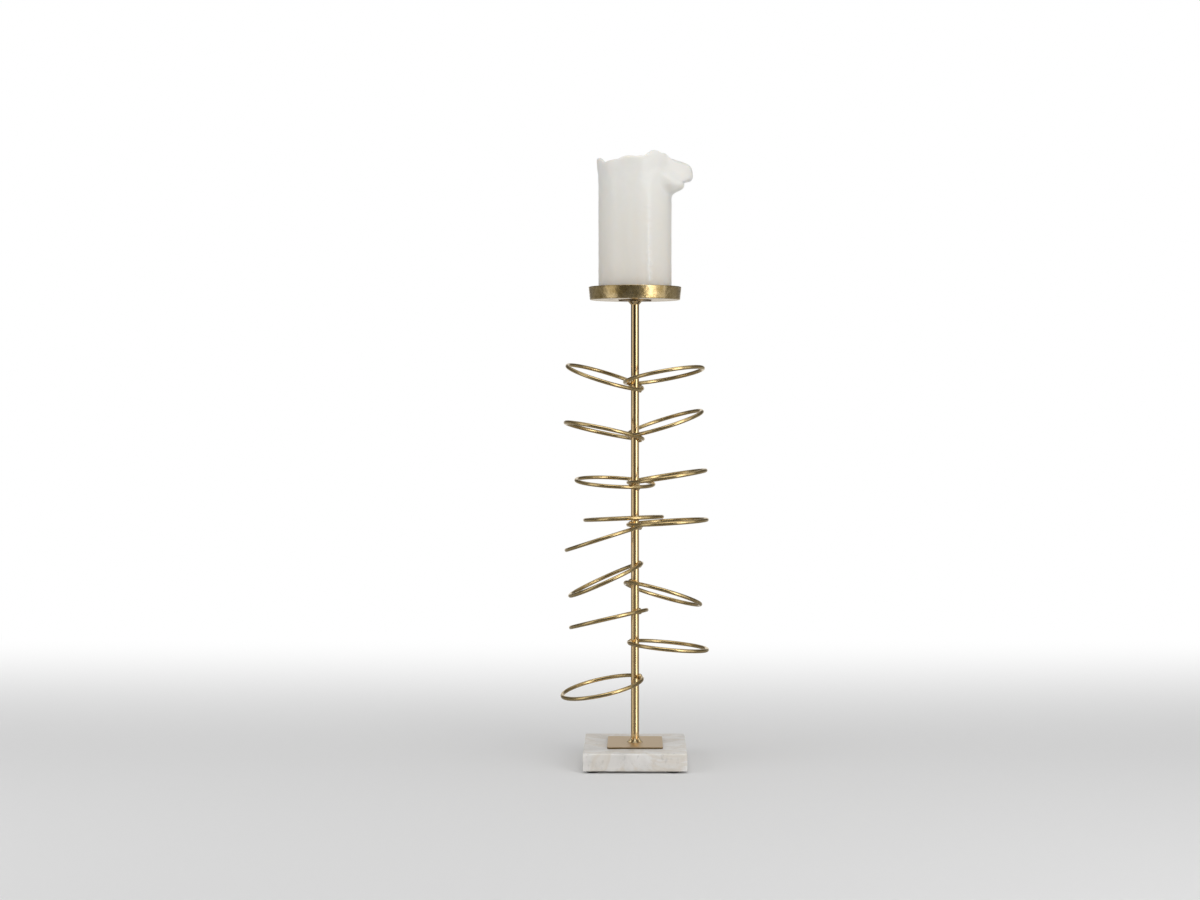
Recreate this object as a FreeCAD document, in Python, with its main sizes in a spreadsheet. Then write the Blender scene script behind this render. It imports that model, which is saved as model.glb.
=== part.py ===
import FreeCAD, Part
import Sketcher
import math
import os

# Tall candle holder: fourteen wire rings welded round a slim post, which
# stands on a marble slab and carries a shallow pan with a pillar candle.
# Millimetres. The origin is on the table, on the post's axis, +Z is up and
# the front of the slab looks along -Y.

os.makedirs("parts", exist_ok=True)
doc = FreeCAD.newDocument("candle_holder")
sheet = doc.addObject("Spreadsheet::Sheet", "sizes")

# Driving sizes
driving_sizes = {
    "foot_diameter": 15.5,
    "foot_taper": 0.75,
    "foot_thickness": 2.0,
    "foot_inset_front_left": 10.2,
    "foot_inset_front_right": 14.8,
    "foot_inset_rear": 12.0,
    "foot_inset_side": 10.5,
    "slab_width": 106.0,
    "slab_depth": 106.0,
    "slab_thickness": 18.0,
    "slab_edge": 0.9,
    "slab_bore": 7.0,
    "counterbore_diameter": 20.0,
    "counterbore_depth": 8.0,
    "plate_width": 57.0,
    "plate_depth": 57.0,
    "plate_thickness": 2.0,
    "plate_corner": 2.6,
    "plate_hole_clearance": 0.25,
    "bolt_diameter": 5.0,
    "bolt_length": 25.0,
    "bolt_head_diameter": 8.5,
    "bolt_head_height": 5.0,
    "bolt_socket_flats": 4.0,
    "bolt_socket_depth": 2.5,
    "washer_diameter": 15.0,
    "washer_thickness": 1.2,
    "washer_clearance": 0.15,
    "post_diameter": 8.5,
    "post_length": 457.8,
    "post_hole_depth": 14.0,
    "thread_clearance": 0.05,
    "foot_weld_fillet": 4.6,
    "foot_weld_toe": 0.3,
    "wire_diameter": 4.0,
    "ring_diameter": 81.8,
    "ring_post_gap": 0.1,
    "ring_weld_diameter": 8.0,
    "ring_weld_out": 0.2,
    "disc_diameter": 34.0,
    "disc_thickness": 1.3,
    "disc_weld_fillet": 3.8,
    "disc_weld_toe": 0.3,
    "pan_rim_diameter": 96.5,
    "pan_base_diameter": 94.0,
    "pan_height": 13.6,
    "pan_wall": 1.2,
    "pan_floor": 1.2,
    "pan_corner": 0.9,
    "pan_rim_round": 0.4,
    "candle_diameter": 76.0,
    "candle_height": 150.2,
    "drip_top_diameter": 4.2,
    "drip_end_diameter": 4.6,
    "drip_sunk": 1.5,
    "drip_end_height": 14.0,
    "wick_diameter": 2.4,
    "wick_free_length": 8.0,
    "wick_end_height": 3.0,
}

# Each ring from the top of the post down. A ring that stands clear has the height
# of its weld as a share of the post. One that crosses another lies over that one:
# by the wire's thickness and a share of the ring's diameter.
ring_height_shares = {
    1: 0.8001, 3: 0.6863, 5: 0.5789, 9: 0.4889, 10: 0.4032,
    11: 0.3622, 12: 0.2969, 13: 0.2252, 14: 0.1461,
}
ring_lies_over = {2: 1, 4: 3, 6: 5, 8: 9, 7: 8}
ring_lift_shares = {2: 0.0245, 4: 0.0022, 6: 0.0031, 8: -0.0232, 7: 0.0352}

# The way each ring's centre lies from the post (degrees, anticlockwise from +X),
# how far that side rises, and its roll. The lowest ring is a little larger.
ring_angles = (
    (165, 18, -2), (-27.5, 12, -1), (198, 13, 1.5), (18, 18, -1), (128, 4.5, 0.5),
    (12, 8.5, -3), (110.5, -4.5, -1), (-12.5, 4, -1.5), (175, -18, 3), (169, -24, -3),
    (25.5, -19.5, -3.5), (146, -15, -1), (3, -5.5, -2.5), (193, -12, 0.5),
)
ring_size_shares = (1, 1, 1, 1, 1, 1, 1, 1, 1, 1, 1, 1, 1, 1.03)

# Melted top of the candle, as the poles of a smooth skin. The rim's height goes
# round from +X in equal steps, as shares of the candle's height. The wall's outline
# is given twice, plain and through the overflow, as radius and drop below the top,
# both shares of the candle's radius.
rim_height_shares = (
    0.945, 0.947, 0.955, 0.959, 0.950, 0.946, 0.954, 0.960, 0.956,
    0.965, 0.950, 0.921, 0.938, 0.958, 0.944, 1.004, 0.990, 0.948,
)
straight_wall_shares = (0.66, 0.68, 0.70)
plain_wall_shares = (
    (1.00, 0.84), (1.00, 0.72), (1.005, 0.60), (1.01, 0.49), (1.02, 0.38), (1.03, 0.27),
    (1.045, 0.17), (1.055, 0.07), (1.05, -0.02), (0.99, -0.03), (0.92, 0.04), (0.82, 0.17),
)
lobe_wall_shares = (
    (1.00, 1.13), (1.10, 1.09), (1.33, 0.97), (1.42, 0.86), (1.60, 0.81), (1.76, 0.68),
    (1.76, 0.44), (1.65, 0.30), (1.38, 0.21), (1.06, 0.12), (0.90, 0.09), (0.80, 0.24),
)
bowl_shares = ((0.66, 0.42), (0.50, 0.53), (0.33, 0.56), (0.16, 0.56))
drip_top_share = 0.64
lobe_direction = 0
lobe_spread = 21
drip_direction = -68
steps_round = 36
skin_degree = 3

row = 0
for alias, value in driving_sizes.items():
    row += 1
    sheet.set("A%d" % row, alias)
    sheet.set("B%d" % row, str(value))
    sheet.setAlias("B%d" % row, alias)
for number, angles in enumerate(ring_angles, 1):
    ring_values = {"way": angles[0], "rise": angles[1], "roll": angles[2]}
    ring_values["size_share"] = ring_size_shares[number - 1]
    if number in ring_height_shares:
        ring_values["height_share"] = ring_height_shares[number]
    else:
        ring_values["lift_share"] = ring_lift_shares[number]
    for kind, value in ring_values.items():
        row += 1
        alias = "ring_%02d_%s" % (number, kind)
        sheet.set("A%d" % row, alias)
        sheet.set("B%d" % row, str(value))
        sheet.setAlias("B%d" % row, alias)
doc.recompute()

# Heights of the seats, as expressions over the sheet
slab_top = "(sizes.foot_thickness + sizes.slab_thickness)"
plate_top = "(%s + sizes.plate_thickness)" % slab_top
bolt_seat = "(sizes.foot_thickness + sizes.counterbore_depth - sizes.washer_thickness)"
post_top = "(%s + sizes.post_length)" % plate_top
disc_top = "(%s + sizes.disc_thickness)" % post_top
candle_seat = "(%s + sizes.pan_floor)" % disc_top

pieces = []


def piece(item, label):
    """Give a finished sub-part its own name and keep it for the export."""
    item.Label = label
    pieces.append(item)
    return item


def stand_at(item, height, across="0", along="0"):
    """Place an object by expressions for its height and its X and Y."""
    place = "placement(vector(%s; %s; %s); rotation(0; 0; 0))" % (across, along, height)
    item.setExpression("Placement", place)


def sketch_on(body, role, name):
    """A sketch on one of the body's own origin planes."""
    sketch = body.newObject("Sketcher::SketchObject", name)
    plane = next(item for item in body.Origin.OriginFeatures if item.Role == role)
    sketch.AttachmentSupport = (plane, [""])
    sketch.MapMode = "FlatFace"
    return sketch


def sketch_circle(sketch, radius):
    """A circle on the sketch's origin, its radius an expression."""
    index = sketch.addGeometry(Part.Circle(FreeCAD.Vector(), FreeCAD.Vector(0, 0, 1), 1))
    sketch.addConstraint(Sketcher.Constraint("Coincident", index, 3, -1, 1))
    added = sketch.addConstraint(Sketcher.Constraint("Radius", index, 1.0))
    sketch.renameConstraint(added, "radius_%d" % index)
    sketch.setExpression("Constraints.radius_%d" % index, radius)


def sketch_outline(sketch, corners):
    """A closed outline whose corners are pairs of expressions, or "0" on an axis."""
    count = len(corners)
    turns = [2 * math.pi * index / count for index in range(count + 1)]
    unit_points = [FreeCAD.Vector(math.cos(turn), math.sin(turn), 0) for turn in turns]
    for start, end in zip(unit_points, unit_points[1:]):
        sketch.addGeometry(Part.LineSegment(start, end))
    for index in range(count):
        sketch.addConstraint(Sketcher.Constraint("Coincident", index, 2, (index + 1) % count, 1))
    for index, corner in enumerate(corners):
        for kind, axis, size in (("DistanceX", -2, corner[0]), ("DistanceY", -1, corner[1])):
            if size == "0":
                sketch.addConstraint(Sketcher.Constraint("PointOnObject", index, 1, axis))
                continue
            name = "%s_%d" % (kind, index)
            added = sketch.addConstraint(Sketcher.Constraint(kind, -1, 1, index, 1, 1.0))
            sketch.renameConstraint(added, name)
            sketch.setExpression("Constraints.%s" % name, size)


def rectangle(width, depth):
    """Corners of a rectangle centred on the sketch's origin."""
    return (
        ("-%s / 2" % width, "-%s / 2" % depth),
        ("%s / 2" % width, "-%s / 2" % depth),
        ("%s / 2" % width, "%s / 2" % depth),
        ("-%s / 2" % width, "%s / 2" % depth),
    )


def revolved_body(name, corners):
    """A body turned about its own Z axis from an outline of radius and height."""
    body = doc.addObject("PartDesign::Body", name)
    sketch = sketch_on(body, "XZ_Plane", name + "_outline")
    sketch_outline(sketch, corners)
    turned = body.newObject("PartDesign::Revolution", name + "_turned")
    turned.Profile = sketch
    turned.ReferenceAxis = (sketch, ["V_Axis"])
    turned.Angle = 360
    doc.recompute()
    return body


def padded_body(name, thickness):
    """A body with an empty sketch on its XY plane and a pad of that sketch."""
    body = doc.addObject("PartDesign::Body", name)
    sketch = sketch_on(body, "XY_Plane", name + "_outline")
    pad = body.newObject("PartDesign::Pad", name + "_pad")
    pad.Profile = sketch
    pad.setExpression("Length", thickness)
    return body, sketch


def pocket_from_below(body, name, radius, depth):
    """A round pocket cut upwards from the body's XY plane."""
    sketch = sketch_on(body, "XY_Plane", name + "_outline")
    sketch_circle(sketch, radius)
    pocket = body.newObject("PartDesign::Pocket", name)
    pocket.Profile = sketch
    pocket.Reversed = True
    pocket.setExpression("Length", depth)
    doc.recompute()


def edges_where(feature, test):
    """Names of the feature's edges that pass the test."""
    return ["Edge%d" % index for index, edge in enumerate(feature.Shape.Edges, 1) if test(edge)]


def dress(body, kind, name, names, size):
    """A fillet or a chamfer on named edges of the body's last feature."""
    base = body.Tip
    feature = body.newObject("PartDesign::" + kind, name)
    feature.Base = (base, names)
    feature.setExpression("Radius" if kind == "Fillet" else "Size", size)
    doc.recompute()


def cylinder(name, radius, height):
    """A plain cylinder standing on z = 0."""
    item = doc.addObject("Part::Cylinder", name)
    item.setExpression("Radius", radius)
    item.setExpression("Height", height)
    return item


def combine(kind, name, base, tool):
    """A Cut or a Fuse of two objects."""
    item = doc.addObject("Part::" + kind, name)
    item.Base = base
    item.Tool = tool
    return item


# Marble slab: sawn square, edges just broken, bored and counterbored for the bolt
slab, slab_sketch = padded_body("marble_slab", "sizes.slab_thickness")
sketch_outline(slab_sketch, rectangle("sizes.slab_width", "sizes.slab_depth"))
doc.recompute()
slab_edges = edges_where(slab.Tip, lambda edge: True)
dress(slab, "Chamfer", "slab_broken_edges", slab_edges, "sizes.slab_edge")
pocket_from_below(slab, "slab_bore", "sizes.slab_bore / 2", "sizes.slab_thickness")
pocket_from_below(slab, "slab_counterbore", "sizes.counterbore_diameter / 2", "sizes.counterbore_depth")
stand_at(slab, "sizes.foot_thickness")
piece(slab, "marble_base")

# Rubber bumpers stuck under the slab's corners, a little out of place at the front
feet = {
    "foot_front_left": ("-(sizes.slab_width / 2 - sizes.foot_inset_front_left)", "-"),
    "foot_front_right": ("(sizes.slab_width / 2 - sizes.foot_inset_front_right)", "-"),
    "foot_rear_left": ("-(sizes.slab_width / 2 - sizes.foot_inset_rear)", ""),
    "foot_rear_right": ("(sizes.slab_width / 2 - sizes.foot_inset_rear)", ""),
}
for label, (across, sign) in feet.items():
    foot = doc.addObject("Part::Cone", "rubber_" + label)
    foot.setExpression("Radius1", "sizes.foot_diameter / 2 - sizes.foot_taper")
    foot.setExpression("Radius2", "sizes.foot_diameter / 2")
    foot.setExpression("Height", "sizes.foot_thickness")
    stand_at(foot, "0", across, "%s(sizes.slab_depth / 2 - sizes.foot_inset_side)" % sign)
    piece(foot, label)

# Square steel plate on the slab, with a hole for the bolt
plate, plate_sketch = padded_body("steel_plate", "sizes.plate_thickness")
sketch_outline(plate_sketch, rectangle("sizes.plate_width", "sizes.plate_depth"))
doc.recompute()
upright = edges_where(plate.Tip, lambda edge: edge.BoundBox.ZLength > edge.BoundBox.XLength)
dress(plate, "Fillet", "plate_corners", upright, "sizes.plate_corner")
plate_hole = "sizes.bolt_diameter / 2 + sizes.plate_hole_clearance"
pocket_from_below(plate, "plate_hole", plate_hole, "sizes.plate_thickness")
stand_at(plate, slab_top)
piece(plate, "base_plate")

# Post: one round bar with a tapped blind hole in its foot
post, post_sketch = padded_body("round_post", "sizes.post_length")
sketch_circle(post_sketch, "sizes.post_diameter / 2")
doc.recompute()
tapped_radius = "sizes.bolt_diameter / 2 + sizes.thread_clearance"
pocket_from_below(post, "post_tapped_hole", tapped_radius, "sizes.post_hole_depth")
stand_at(post, plate_top)
piece(post, "post")

# Bolt and washer that clamp slab, plate and post together from below
bolt_outline = (
    ("0", "-sizes.bolt_head_height"),
    ("sizes.bolt_head_diameter / 2", "-sizes.bolt_head_height"),
    ("sizes.bolt_head_diameter / 2", "0"),
    ("sizes.bolt_diameter / 2", "0"),
    ("sizes.bolt_diameter / 2", "sizes.bolt_length"),
    ("0", "sizes.bolt_length"),
)
bolt_blank = revolved_body("bolt_blank", bolt_outline)
stand_at(bolt_blank, bolt_seat)
socket = doc.addObject("Part::Prism", "bolt_socket")
socket.Polygon = 6
socket.setExpression("Circumradius", "sizes.bolt_socket_flats / 2 / cos(30 deg)")
socket.setExpression("Height", "sizes.bolt_socket_depth")
stand_at(socket, "%s - sizes.bolt_head_height" % bolt_seat)
piece(combine("Cut", "socket_head_bolt", bolt_blank, socket), "fixing_bolt")

washer, washer_sketch = padded_body("round_washer", "sizes.washer_thickness")
sketch_circle(washer_sketch, "sizes.washer_diameter / 2")
sketch_circle(washer_sketch, "sizes.bolt_diameter / 2 + sizes.washer_clearance")
stand_at(washer, bolt_seat)
piece(washer, "fixing_washer")


# The welds are shaped by the outside of the post alone
post_outside = cylinder("post_outside", "sizes.post_diameter / 2", "sizes.post_length")
stand_at(post_outside, plate_top)


def fillet_weld(name, fillet, toe, height, side):
    """A concave run of weld round the post, above (+) or below (-) a flat face."""
    reach = "(%s + %s)" % (fillet, toe)
    blank = cylinder(name + "_blank", "sizes.post_diameter / 2 + %s" % reach, reach)
    stand_at(blank, height if side == "+" else "%s - %s" % (height, reach))
    hollow = doc.addObject("Part::Torus", name + "_hollow")
    hollow.setExpression("Radius1", "sizes.post_diameter / 2 + %s" % reach)
    hollow.setExpression("Radius2", fillet)
    stand_at(hollow, "%s %s %s" % (height, side, reach))
    run = combine("Cut", name + "_run", blank, hollow)
    return combine("Cut", name, run, post_outside)


foot_weld = fillet_weld("foot_weld", "sizes.foot_weld_fillet", "sizes.foot_weld_toe", plate_top, "+")
piece(foot_weld, "post_foot_weld")

# Rings: each a bent wire circle that goes round the post and touches it inside.
# Its weld is a bead in the corners between wire and post.
post_to_wire = "(sizes.post_diameter / 2 + sizes.ring_post_gap + sizes.wire_diameter / 2)"
post_to_bead = "(sizes.post_diameter / 2 + sizes.ring_weld_out)"


def weld_height(number):
    """The height of a ring's weld, as an expression."""
    if number in ring_height_shares:
        return "(%s + sizes.post_length * sizes.ring_%02d_height_share)" % (plate_top, number)
    below = weld_height(ring_lies_over[number])
    lift = "sizes.wire_diameter + sizes.ring_diameter * sizes.ring_%02d_lift_share" % number
    return "(%s + %s)" % (below, lift)


for number in range(1, len(ring_angles) + 1):
    label = "ring_%02d" % number
    own = "sizes.%s_" % label
    radius = "(sizes.ring_diameter / 2 * %ssize_share)" % own
    way = "(%sway * 1 deg)" % own
    rise = "(%srise * 1 deg)" % own
    reach = "(%s * cos%s - %s)" % (radius, rise, post_to_wire)
    centre_height = "%s + %s * sin%s" % (weld_height(number), radius, rise)
    centre = "vector(%s * cos%s; %s * sin%s; %s)" % (reach, way, reach, way, centre_height)
    ring = doc.addObject("Part::Torus", label + "_wire")
    ring.setExpression("Radius1", radius)
    ring.setExpression("Radius2", "sizes.wire_diameter / 2")
    turned = "rotation(%sway; -%srise; %sroll)" % (own, own, own)
    ring.setExpression("Placement", "placement(%s; %s)" % (centre, turned))
    piece(ring, label)
    bead = doc.addObject("Part::Sphere", label + "_bead")
    bead.setExpression("Radius", "sizes.ring_weld_diameter / 2")
    across = "-%s * cos%s" % (post_to_bead, way)
    along = "-%s * sin%s" % (post_to_bead, way)
    stand_at(bead, weld_height(number), across, along)
    beside_post = combine("Cut", label + "_bead_beside_post", bead, post_outside)
    piece(combine("Cut", label + "_bead_round_wire", beside_post, ring), label + "_weld")

# Disc on top of the post that carries the pan, and the weld under it
disc = cylinder("round_disc", "sizes.disc_diameter / 2", "sizes.disc_thickness")
stand_at(disc, post_top)
piece(disc, "pan_support_disc")
disc_weld = fillet_weld("disc_weld", "sizes.disc_weld_fillet", "sizes.disc_weld_toe", post_top, "-")
piece(disc_weld, "pan_support_weld")

# Pan: spun from sheet, flat floor, low wall that opens a little towards the rim
pan_outline = (
    ("0", "0"),
    ("sizes.pan_base_diameter / 2", "0"),
    ("sizes.pan_rim_diameter / 2", "sizes.pan_height"),
    ("sizes.pan_rim_diameter / 2 - sizes.pan_wall", "sizes.pan_height"),
    ("sizes.pan_base_diameter / 2 - sizes.pan_wall", "sizes.pan_floor"),
    ("0", "sizes.pan_floor"),
)
pan = revolved_body("spun_pan", pan_outline)
heel = edges_where(pan.Tip, lambda edge: edge.Closed and edge.BoundBox.ZMax < sheet.pan_floor / 2)
dress(pan, "Fillet", "pan_heel", heel, "sizes.pan_corner")
rim = edges_where(pan.Tip, lambda edge: edge.Closed and edge.BoundBox.ZMin > sheet.pan_height / 2)
dress(pan, "Fillet", "pan_rim", rim, "sizes.pan_rim_round")
stand_at(pan, disc_top)
piece(pan, "candle_pan")


def rim_share(turn):
    """Height of the melted rim at a turn in degrees, smooth between the shares."""
    step = turn / 360 * len(rim_height_shares)
    before = int(math.floor(step)) % len(rim_height_shares)
    after = (before + 1) % len(rim_height_shares)
    part = (1 - math.cos(math.pi * (step - math.floor(step)))) / 2
    return rim_height_shares[before] * (1 - part) + rim_height_shares[after] * part


def wax_row(place):
    """A closed row of poles round the candle; place gives radius and height at a turn."""
    step_angle = 2 * math.pi / steps_round
    pole_out = 3 / (2 + math.cos(step_angle))
    poles = []
    for step in range(steps_round):
        angle = step_angle * step
        radius, height = place(math.degrees(angle))
        across = radius * pole_out * math.cos(angle)
        along = radius * pole_out * math.sin(angle)
        poles.append(FreeCAD.Vector(across, along, height))
    return poles


def melted_rows(radius, height):
    """Rows of poles up the wall, over the rim, along the lobe and into the bowl."""
    rows = [wax_row(lambda turn: (radius, height * level)) for level in straight_wall_shares]
    for plain, lobe in zip(plain_wall_shares, lobe_wall_shares):
        def wall(turn):
            off = (turn - lobe_direction + 180) % 360 - 180
            blend = math.exp(-(off / lobe_spread) ** 2)
            out = radius * plain[0]
            low = height * rim_share(turn) - radius * plain[1]
            lobe_low = height - radius * lobe[1]
            return out + blend * (radius * lobe[0] - out), low + blend * (lobe_low - low)
        rows.append(wax_row(wall))
    rows += [wax_row(lambda turn: (radius * share, height - radius * drop)) for share, drop in bowl_shares]
    return rows


# Pillar candle: straight wax below, the melted top on it, and a run down the front.
# It stands loose in the pan.
wax_rows = melted_rows(sheet.candle_diameter / 2, sheet.candle_height)
spans_up = len(wax_rows) - skin_degree
end_counts = [skin_degree + 1]
skin = Part.BSplineSurface()
skin.buildFromPolesMultsKnots(
    wax_rows,
    end_counts + [1] * (spans_up - 1) + end_counts,
    [1] * (steps_round + 1),
    list(range(spans_up + 1)),
    list(range(steps_round + 1)),
    False, True, skin_degree, skin_degree,
)
skin_face = skin.toShape()
ends = [edge for edge in skin_face.Edges if edge.Closed]
ends.sort(key=lambda edge: edge.BoundBox.ZMin)
joint_face = Part.Face(Part.Wire([ends[0]]))
bowl_floor = Part.Face(Part.Wire([ends[-1]]))
melted_shell = Part.makeShell([skin_face, joint_face, bowl_floor])
melted_shell.sewShape()
candle_place = "placement(vector(0; 0; %s); rotation(0; 0; 0))" % candle_seat

melted_top = doc.addObject("Part::Feature", "melted_top")
melted_top.Shape = Part.makeSolid(Part.Shell(melted_shell.Faces))
melted_top.setExpression("Placement", candle_place)
straight_wax = doc.addObject("Part::Feature", "straight_wax")
straight_wax.Shape = joint_face.extrude(FreeCAD.Vector(0, 0, -ends[0].BoundBox.ZMin))
straight_wax.setExpression("Placement", candle_place)

drip_out = "(sizes.candle_diameter / 2 - sizes.drip_sunk)"
drip_across = "%s * cos(%s * 1 deg)" % (drip_out, drip_direction)
drip_along = "%s * sin(%s * 1 deg)" % (drip_out, drip_direction)
drip_low = "(%s + sizes.drip_end_height)" % candle_seat
drip_run = doc.addObject("Part::Cone", "drip_run")
drip_run.setExpression("Radius1", "sizes.drip_end_diameter / 2")
drip_run.setExpression("Radius2", "sizes.drip_top_diameter / 2")
drip_run.setExpression("Height", "sizes.candle_height * %s - sizes.drip_end_height" % drip_top_share)
stand_at(drip_run, drip_low, drip_across, drip_along)
drip_end = doc.addObject("Part::Sphere", "drip_end")
drip_end.setExpression("Radius", "sizes.drip_end_diameter / 2")
stand_at(drip_end, drip_low, drip_across, drip_along)
drip = combine("Fuse", "drip", drip_run, drip_end)
wax_with_drip = combine("Fuse", "wax_with_drip", straight_wax, drip)
whole_wax = combine("Fuse", "whole_wax", wax_with_drip, melted_top)

# The wick runs up through the wax and stands a little out of the bowl's floor
bowl_floor_height = "sizes.candle_height - sizes.candle_diameter / 2 * %s" % bowl_shares[-1][1]
wick_length = "%s + sizes.wick_free_length - sizes.wick_end_height" % bowl_floor_height
wick = cylinder("cotton_wick", "sizes.wick_diameter / 2", wick_length)
stand_at(wick, "%s + sizes.wick_end_height" % candle_seat)
piece(combine("Cut", "bored_wax", whole_wax, wick), "candle_wax")
piece(wick, "candle_wick")

# Checks and export
doc.recompute()
for item in doc.Objects:
    if "Invalid" in item.State or "Error" in item.State:
        raise RuntimeError("failed: %s %s" % (item.Name, item.State))
for item in pieces:
    if item.Shape.isNull() or not item.Shape.isValid() or not item.Shape.Solids:
        raise RuntimeError("bad shape: %s" % item.Label)
for item in pieces:
    item.Shape.exportStep("parts/%s.step" % item.Label)
    box = item.Shape.BoundBox
    print("%-20s %d solid  %9.1f mm3  z %.1f to %.1f" % (
        item.Label, len(item.Shape.Solids), item.Shape.Volume, box.ZMin, box.ZMax))
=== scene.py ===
import bmesh
import bpy
import math
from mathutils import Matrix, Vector, noise


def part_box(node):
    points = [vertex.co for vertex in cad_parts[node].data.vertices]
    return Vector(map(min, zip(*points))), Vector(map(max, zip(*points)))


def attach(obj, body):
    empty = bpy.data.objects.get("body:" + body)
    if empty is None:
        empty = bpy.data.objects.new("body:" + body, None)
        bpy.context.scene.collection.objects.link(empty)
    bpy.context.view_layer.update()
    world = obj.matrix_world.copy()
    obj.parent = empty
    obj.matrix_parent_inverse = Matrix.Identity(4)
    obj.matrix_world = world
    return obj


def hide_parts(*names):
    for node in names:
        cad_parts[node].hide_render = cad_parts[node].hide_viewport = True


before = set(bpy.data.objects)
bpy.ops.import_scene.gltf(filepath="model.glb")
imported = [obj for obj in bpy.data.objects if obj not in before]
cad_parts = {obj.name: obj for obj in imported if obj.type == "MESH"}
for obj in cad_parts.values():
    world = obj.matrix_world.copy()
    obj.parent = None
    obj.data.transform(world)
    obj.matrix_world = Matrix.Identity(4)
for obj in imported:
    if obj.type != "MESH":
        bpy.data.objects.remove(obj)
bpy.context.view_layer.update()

mm = 0.001


# Marble slab
# A sawn square of pale marble, honed all over, its arrises broken by hand so that they
# wander and are chipped here and there. Bored from below for the bolt.
def new_finish(name, metallic, roughness):
    """A material with one Principled shader; gives it, its nodes, the shader and the place.

    Where a pattern takes over the roughness, the number is about the pattern's mean.
    """
    finish = bpy.data.materials.new(name)
    finish.use_nodes = True
    tree = finish.node_tree
    shader = tree.nodes["Principled BSDF"]
    shader.inputs["Metallic"].default_value = metallic
    shader.inputs["Roughness"].default_value = roughness
    place = tree.nodes.new("ShaderNodeTexCoord").outputs["Object"]
    return finish, tree, shader, place


def stretched(tree, place, stretch):
    """The place with its axes stretched, for a pattern that runs along the piece."""
    mapping = tree.nodes.new("ShaderNodeMapping")
    mapping.inputs["Scale"].default_value = stretch
    tree.links.new(place, mapping.inputs["Vector"])
    return mapping.outputs["Vector"]


def clouds(tree, place, size, detail=4.0, wander=0.0):
    """Soft patches of about the given size in metres, from 0 to 1."""
    pattern = tree.nodes.new("ShaderNodeTexNoise")
    pattern.inputs["Scale"].default_value = 1 / size
    pattern.inputs["Detail"].default_value = detail
    pattern.inputs["Distortion"].default_value = wander
    tree.links.new(place, pattern.inputs["Vector"])
    return pattern.outputs["Fac"]


def shades(tree, value, stops):
    """Colours or greys along a value; a stop is a place from 0 to 1 and a colour or a grey."""
    ramp = tree.nodes.new("ShaderNodeValToRGB")
    elements = ramp.color_ramp.elements
    while len(elements) < len(stops):
        elements.new(0.5)
    for element, (at, colour) in zip(elements, stops):
        element.position = at
        element.color = (*colour, 1.0) if isinstance(colour, tuple) else (colour, colour, colour, 1.0)
    tree.links.new(value, ramp.inputs["Fac"])
    return ramp.outputs["Color"]


def mixed(tree, share, first, second):
    """One colour over another; each may be a colour or a pattern, and share a pattern."""
    mix = tree.nodes.new("ShaderNodeMix")
    mix.data_type = "RGBA"
    tree.links.new(share, mix.inputs[0])
    for socket, colour in ((mix.inputs[6], first), (mix.inputs[7], second)):
        if isinstance(colour, tuple):
            socket.default_value = (*colour, 1.0)
        else:
            tree.links.new(colour, socket)
    return mix.outputs[2]


def relief(tree, shader, pattern, depth):
    """Raises and sinks the surface by a pattern, depth in metres."""
    bump = tree.nodes.new("ShaderNodeBump")
    bump.inputs["Distance"].default_value = depth
    tree.links.new(pattern, bump.inputs["Height"])
    tree.links.new(bump.outputs["Normal"], shader.inputs["Normal"])


def marble_finish():
    """Pale honed marble: soft clouds, a few faint cream streaks and small grey flecks."""
    finish, tree, shader, place = new_finish("honed_marble", metallic=0.0, roughness=0.42)
    cloud = clouds(tree, place, 38 * mm, detail=8.0, wander=0.9)
    greys = ((0.30, (0.60, 0.58, 0.55)), (0.48, (0.71, 0.69, 0.66)), (0.66, (0.76, 0.745, 0.72)))
    stone = shades(tree, cloud, greys)
    streak = clouds(tree, stretched(tree, place, (0.8, 1.6, 1.1)), 55 * mm, detail=6.0, wander=1.4)
    streak_share = shades(tree, streak, ((0.46, 0.0), (0.515, 0.50), (0.53, 0.42), (0.60, 0.0)))
    veined = mixed(tree, streak_share, stone, (0.60, 0.53, 0.43))
    fleck = clouds(tree, stretched(tree, place, (1.0, 1.0, 0.6)), 3.2 * mm, detail=8.0, wander=0.2)
    fleck_share = shades(tree, fleck, ((0.58, 0.0), (0.78, 0.55)))
    tree.links.new(mixed(tree, fleck_share, veined, (0.44, 0.425, 0.40)), shader.inputs["Base Color"])
    honed = clouds(tree, place, 3 * mm, detail=5.0)
    tree.links.new(shades(tree, honed, ((0.3, 0.34), (0.7, 0.52))), shader.inputs["Roughness"])
    relief(tree, shader, honed, depth=0.05 * mm)
    shader.inputs["Subsurface Weight"].default_value = 0.12
    shader.inputs["Subsurface Radius"].default_value = (1.0, 0.9, 0.8)
    shader.inputs["Subsurface Scale"].default_value = 2 * mm
    return finish


def add_piece(name, shape, finish, slot, body, *nodes):
    """Makes the finished mesh an object that stands for CAD nodes and rides on their body."""
    mesh = bpy.data.meshes.new(name)
    shape.to_mesh(mesh)
    shape.free()
    mesh.materials.append(finish)
    mesh.shade_smooth()
    made = bpy.data.objects.new(name, mesh)
    bpy.context.scene.collection.objects.link(made)
    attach(made, body)
    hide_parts(*nodes)
    return made


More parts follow.
